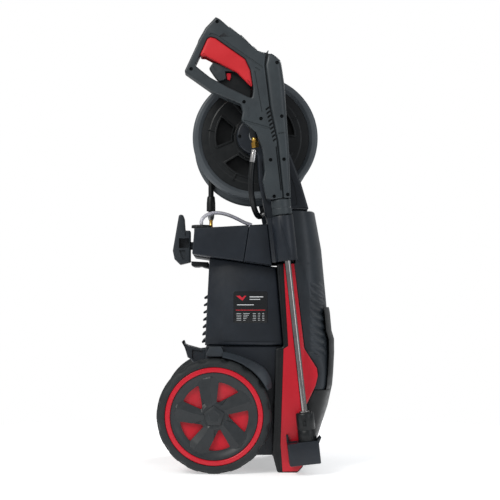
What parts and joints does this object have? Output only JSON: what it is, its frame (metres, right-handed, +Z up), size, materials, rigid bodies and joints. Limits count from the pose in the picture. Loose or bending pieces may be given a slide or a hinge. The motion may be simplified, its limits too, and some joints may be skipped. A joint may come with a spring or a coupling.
{
  "type": "pressure washer",
  "caption": "Upright electric pressure washer on two wheels, with a hose reel on top, a detergent tank, cord hooks, and a spray gun and lance held at its side.",
  "frame": {"origin": "on the floor, at the middle of the footprint of the machine without its hoses", "axes": "+Z up, +X towards the machine's front cover, -Y towards the side that carries the gun and lance"},
  "size_m": [0.3432, 0.374, 0.8562],
  "materials": {
    "body_plastic": "moulded black-grey ABS, satin",
    "gun_plastic": "moulded grey glass-filled nylon, fine grain",
    "red_plastic": "moulded red ABS, semi-gloss",
    "black_plastic": "moulded black nylon, satin",
    "tyre_rubber": "moulded rubber tread",
    "hose_rubber": "black hose jacket, satin",
    "steel": "zinc-plated steel",
    "chrome": "chrome-plated tube",
    "brass": "turned brass",
    "aluminium": "die-cast aluminium",
    "clear_pvc": "clear flexible PVC"
  },
  "bodies": {
    "machine": {"chassis_tub": "body_plastic", "fender_near": "body_plastic", "fender_far": "body_plastic", "lower_cord_hook": "body_plastic", "motor_housing": "body_plastic", "detergent_tank": "body_plastic", "shelf_bracket": "body_plastic", "neck_back": "body_plastic", "yoke_arm_near": "body_plastic", "yoke_arm_far": "body_plastic", "front_cover": "body_plastic", "gun_socket": "body_plastic", "nozzle_cup": "body_plastic", "gun_half_near": "gun_plastic", "gun_half_far": "gun_plastic", "barrel_cover": "gun_plastic", "muzzle_collar": "gun_plastic", "side_panel_near": "red_plastic", "side_panel_far": "red_plastic", "grip_insert": "red_plastic", "side_frame_near": "black_plastic", "side_frame_far": "black_plastic", "cord_guide_bar": "black_plastic", "front_lower_cover": "black_plastic", "mains_inlet_bush": "black_plastic", "gun_hose": "hose_rubber", "outlet_hose": "hose_rubber", "wheel_axle": "steel", "motor_stator": "steel", "reel_axle": "steel", "lance_tube": "chrome", "gun_hose_ferrule": "chrome", "water_inlet": "brass", "gun_valve": "brass", "inlet_nipple": "brass", "outlet_fitting": "brass", "pump_body": "aluminium", "clear_hose": "clear_pvc"},
    "wheel_near": {"tyre_near": "tyre_rubber", "rim_near": "red_plastic", "wheel_cover_near": "black_plastic", "hub_cap_near": "black_plastic"},
    "wheel_far": {"tyre_far": "tyre_rubber", "rim_far": "red_plastic", "wheel_cover_far": "black_plastic", "hub_cap_far": "black_plastic"},
    "reel": {"reel_flange_near": "gun_plastic", "reel_flange_far": "gun_plastic", "reel_drum": "black_plastic", "hose_pack": "hose_rubber", "crank_arm": "black_plastic"},
    "crank_knob": {"crank_knob": "black_plastic"},
    "motor_rotor": {"motor_rotor": "steel"},
    "trigger": {"trigger": "gun_plastic"},
    "safety_catch": {"safety_catch": "red_plastic"},
    "nozzle": {"nozzle_body": "black_plastic", "nozzle_tip": "brass"},
    "upper_cord_hook": {"upper_cord_hook": "body_plastic"},
    "detergent_cap": {"detergent_cap": "black_plastic"},
    "switch_knob": {"switch_knob": "black_plastic"}
  },
  "joints": [
    {"name": "wheel_near_spin", "type": "hinge", "parent": "machine", "child": "wheel_near", "pos_m": [-0.0636, -0.15, 0.108], "axis": [0, 1, 0], "continuous": true},
    {"name": "wheel_far_spin", "type": "hinge", "parent": "machine", "child": "wheel_far", "pos_m": [-0.0636, 0.15, 0.108], "axis": [0, 1, 0], "continuous": true},
    {"name": "reel_spin", "type": "hinge", "parent": "machine", "child": "reel", "pos_m": [0.0155, 0, 0.64], "axis": [0, 1, 0], "continuous": true},
    {"name": "crank_knob_spin", "type": "hinge", "parent": "reel", "child": "crank_knob", "pos_m": [-0.01357, 0.16, 0.56013], "axis": [0, 1, 0], "continuous": true},
    {"name": "motor_spin", "type": "hinge", "parent": "machine", "child": "motor_rotor", "pos_m": [-0.008, 0, 0.3], "axis": [0, 0, 1], "continuous": true},
    {"name": "trigger_squeeze", "type": "hinge", "parent": "machine", "child": "trigger", "pos_m": [0.01925, -0.165, 0.74225], "axis": [0, 1, 0], "range_deg": [0, 9], "stiffness_Nm_per_rad": 0.8, "springref_deg": -8.59},
    {"name": "safety_catch_flip", "type": "hinge", "parent": "trigger", "child": "safety_catch", "pos_m": [-0.03519, -0.165, 0.74781], "axis": [0, 1, 0], "range_deg": [-40, 0]},
    {"name": "nozzle_twist", "type": "hinge", "parent": "machine", "child": "nozzle", "pos_m": [0.10989, -0.165, 0.07618], "axis": [-0.1097, 0, 0.994], "range_deg": [0, 90]},
    {"name": "upper_cord_hook_swivel", "type": "hinge", "parent": "machine", "child": "upper_cord_hook", "pos_m": [-0.1054, 0, 0.434], "axis": [1, 0, 0], "range_deg": [0, 180]},
    {"name": "detergent_cap_twist", "type": "hinge", "parent": "machine", "child": "detergent_cap", "pos_m": [-0.0885, -0.1, 0.466], "axis": [0, 0, 1], "range_deg": [0, 270]},
    {"name": "switch_turn", "type": "hinge", "parent": "machine", "child": "switch_knob", "pos_m": [-0.01, 0.125, 0.352], "axis": [0, 1, 0], "range_deg": [0, 90]}
  ]
}
